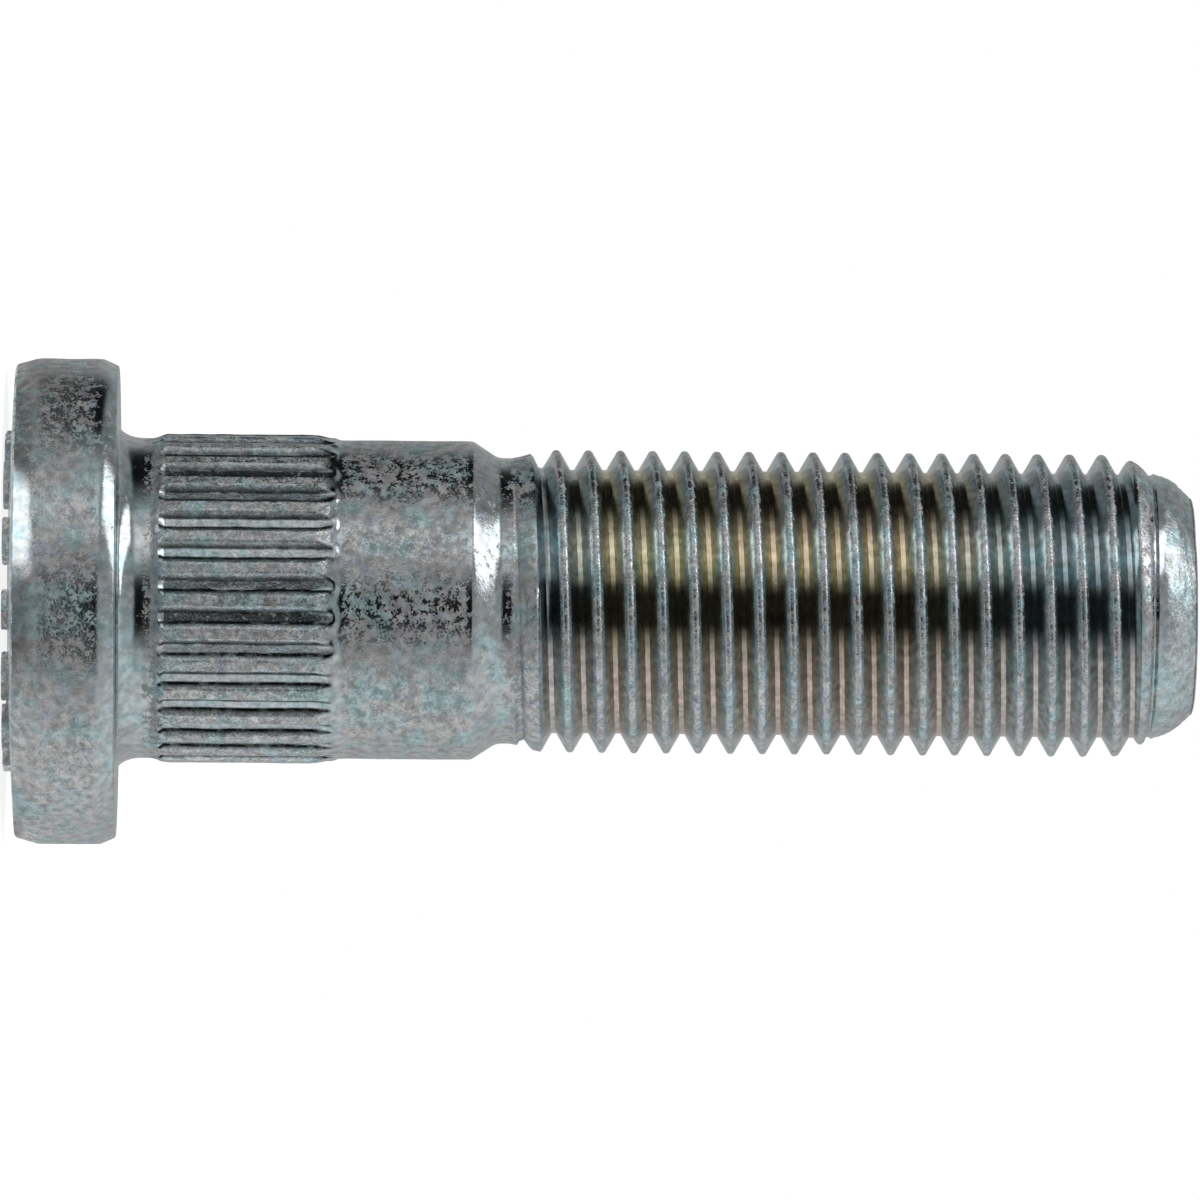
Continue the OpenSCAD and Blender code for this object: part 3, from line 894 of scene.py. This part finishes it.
# %% [markdown]
# ## Light tent
# A metal shows its surroundings more than its own colour, so the tent is built for what the
# stud mirrors: pale cloth, with dark gaps where its boards end. It is one round wall with a
# floor and a lid, and its brightness is kept on its points. One list of angles, counted from
# the camera's side towards the picture's lower edge, has the gaps, and the other is soft, for
# the parts of the tent that lie above the gaps or close to the stud. The innermost ring on the
# floor shines on one side, to be mirrored in the rubbed corner of the head. A spot of the stud
# mirrors the far tent at twice its own angle, but it mirrors that ring right beside itself, so
# the ring takes its brightness from twice its angle. Only reflections see the tent: the camera
# and the paper floor don't.

# %% Brightness round the tent
tent_sides = [
    (-180, 0.42), (-146, 0.42), (-138, 0.34), (-130, 0.08), (-120, 0.01), (-94, 0.004),
    (-86, 0.05), (-76, 0.22), (-66, 0.46), (-56, 0.76), (-42, 1.02), (-31, 0.72),
    (-22, 0.50), (-14, 0.10), (-8, 0.004), (20, 0.004), (26, 0.10), (32, 0.28),
    (38, 0.44), (48, 0.60), (60, 0.74), (84, 0.82), (100, 0.80), (120, 0.70),
    (146, 0.55), (180, 0.42),
]
tent_soft = [
    (-180, 0.42), (-146, 0.38), (-120, 0.34), (-90, 0.28), (-62, 0.32), (-40, 0.38),
    (-20, 0.40), (0, 0.43), (20, 0.46), (38, 0.58), (56, 0.74), (84, 0.80),
    (100, 0.80), (120, 0.70), (146, 0.55), (180, 0.42),
]
GLINT_FROM, GLINT_TO, GLINT_EDGE = -78, -3, 24
LAMP_RADIANCE, CORNER_SHADE = 2.0, 0.2


def camera_side(angle_deg, distance):
    """The place at an angle from the camera's side, towards the picture's lower edge."""
    angle = math.radians(angle_deg - 90)
    return distance * math.cos(angle), distance * math.sin(angle)


def value_at(stops, angle):
    """The value that a list of stops gives at an angle."""
    for (a, low), (b, high) in zip(stops, stops[1:]):
        if a <= angle <= b:
            return low + (high - low) * (angle - a) / (b - a)


def tent_brightness(angle, gaps, glint):
    """Brightness of the tent at an angle: with the dark gaps (1) or without (0), and any glint."""
    seen = gaps * value_at(tent_sides, angle) + (1 - gaps) * value_at(tent_soft, angle)
    lit = ease((angle - GLINT_FROM) / GLINT_EDGE) * ease((GLINT_TO - angle) / GLINT_EDGE)
    return max(seen, CORNER_SHADE, LAMP_RADIANCE * lit) if glint else seen


print("tent: darkest", min(v for _, v in tent_sides), "brightest", tent_brightness(-40, 1, True))

# %% Light tent
TENT_R, TENT_TOP, TENT_FOOT = 0.3, 0.42, 0.0002
GLINT_FROM_R, GLINT_TO_R, GLINT_FADE = 0.0092, 0.0107, 0.0009
# Each row of points: radius, height, how far it shows the gaps, and whether it has the glint.
tent_rows = [
    (GLINT_FROM_R, TENT_FOOT, 1, True),
    (GLINT_TO_R, TENT_FOOT, 1, True),
    (GLINT_TO_R + GLINT_FADE, TENT_FOOT, 0, False),
    (0.03, TENT_FOOT, 0, False),
    (0.045, TENT_FOOT, 1, False),
    (TENT_R, TENT_FOOT, 1, False),
    (TENT_R, 0.09, 1, False),
    (TENT_R, 0.12, 0, False),
    (TENT_R, TENT_TOP, 0, False),
    (0.001, TENT_TOP, 0, False),
]
tent_angles = range(-180, 181)
tent_points, tent_values = [], []
for radius, z, gaps, glint in tent_rows:
    for angle in tent_angles:
        tent_points.append((*camera_side(angle, radius), z))
        seen_as = (2 * angle + 180) % 360 - 180 if glint else angle
        tent_values.append(tent_brightness(seen_as, gaps, glint))
columns = len(tent_angles)
tent_faces = []
for row in range(len(tent_rows) - 1):
    for i in range(columns - 1):
        lower, upper = row * columns + i, (row + 1) * columns + i
        tent_faces.append((lower, lower + 1, upper + 1, upper))
tent_mesh = bpy.data.meshes.new("light_tent")
tent_mesh.from_pydata(tent_points, [], tent_faces)
tent_mesh.attributes.new("brightness", "FLOAT", "POINT").data.foreach_set("value", tent_values)
tent = bpy.data.objects.new("light_tent", tent_mesh)
bpy.context.scene.collection.objects.link(tent)
tent_cloth, tree = new_tree("tent_cloth_and_boards")
brightness = add_node(tree, "ShaderNodeAttribute", attribute_name="brightness").outputs["Fac"]
glow = add_node(tree, "ShaderNodeEmission", {"Strength": brightness})
add_node(tree, "ShaderNodeOutputMaterial", {"Surface": glow.outputs[0]})
tent.data.materials.append(tent_cloth)
tent.visible_camera = tent.visible_diffuse = tent.visible_shadow = False
print("tent:", len(tent_points), "points in", len(tent_rows), "rows")

# %% [markdown]
# ## Soft box
# One tall soft box, up on the tip's side, gives the plain light a direction. It makes the short
# white highlights on the nose, the step, the chamfer and the fillet.

# %% Soft box
LAMP_DISTANCE, LAMP_SIDE, LAMP_ELEVATION, LAMP_AIM_Z = 0.3, -58, 52, 0.02
LAMP_WIDTH, LAMP_HEIGHT = 0.165, 0.33
lamp_data = bpy.data.lights.new("soft_box", "AREA")
lamp_data.shape = "RECTANGLE"
lamp_data.size, lamp_data.size_y = LAMP_WIDTH, LAMP_HEIGHT
lamp_data.energy = LAMP_RADIANCE * math.pi * LAMP_WIDTH * LAMP_HEIGHT
lamp = bpy.data.objects.new("soft_box", lamp_data)
bpy.context.scene.collection.objects.link(lamp)
elevation = math.radians(LAMP_ELEVATION)
x, y = camera_side(LAMP_SIDE, LAMP_DISTANCE * math.cos(elevation))
from_stud = Vector((x, y, LAMP_DISTANCE * math.sin(elevation)))
lamp.location = Vector((0, 0, LAMP_AIM_Z)) + from_stud
lamp.rotation_euler = (-from_stud).to_track_quat("-Z", "Y").to_euler()
lamp.visible_camera = False
print("soft box:", round(lamp_data.energy, 2), "W at", [round(v, 3) for v in lamp.location])

# %% [markdown]
# ## Finish
# The colours are shown as they are, without a film look.

# %% Finish
bpy.context.scene.view_settings.view_transform = "Standard"
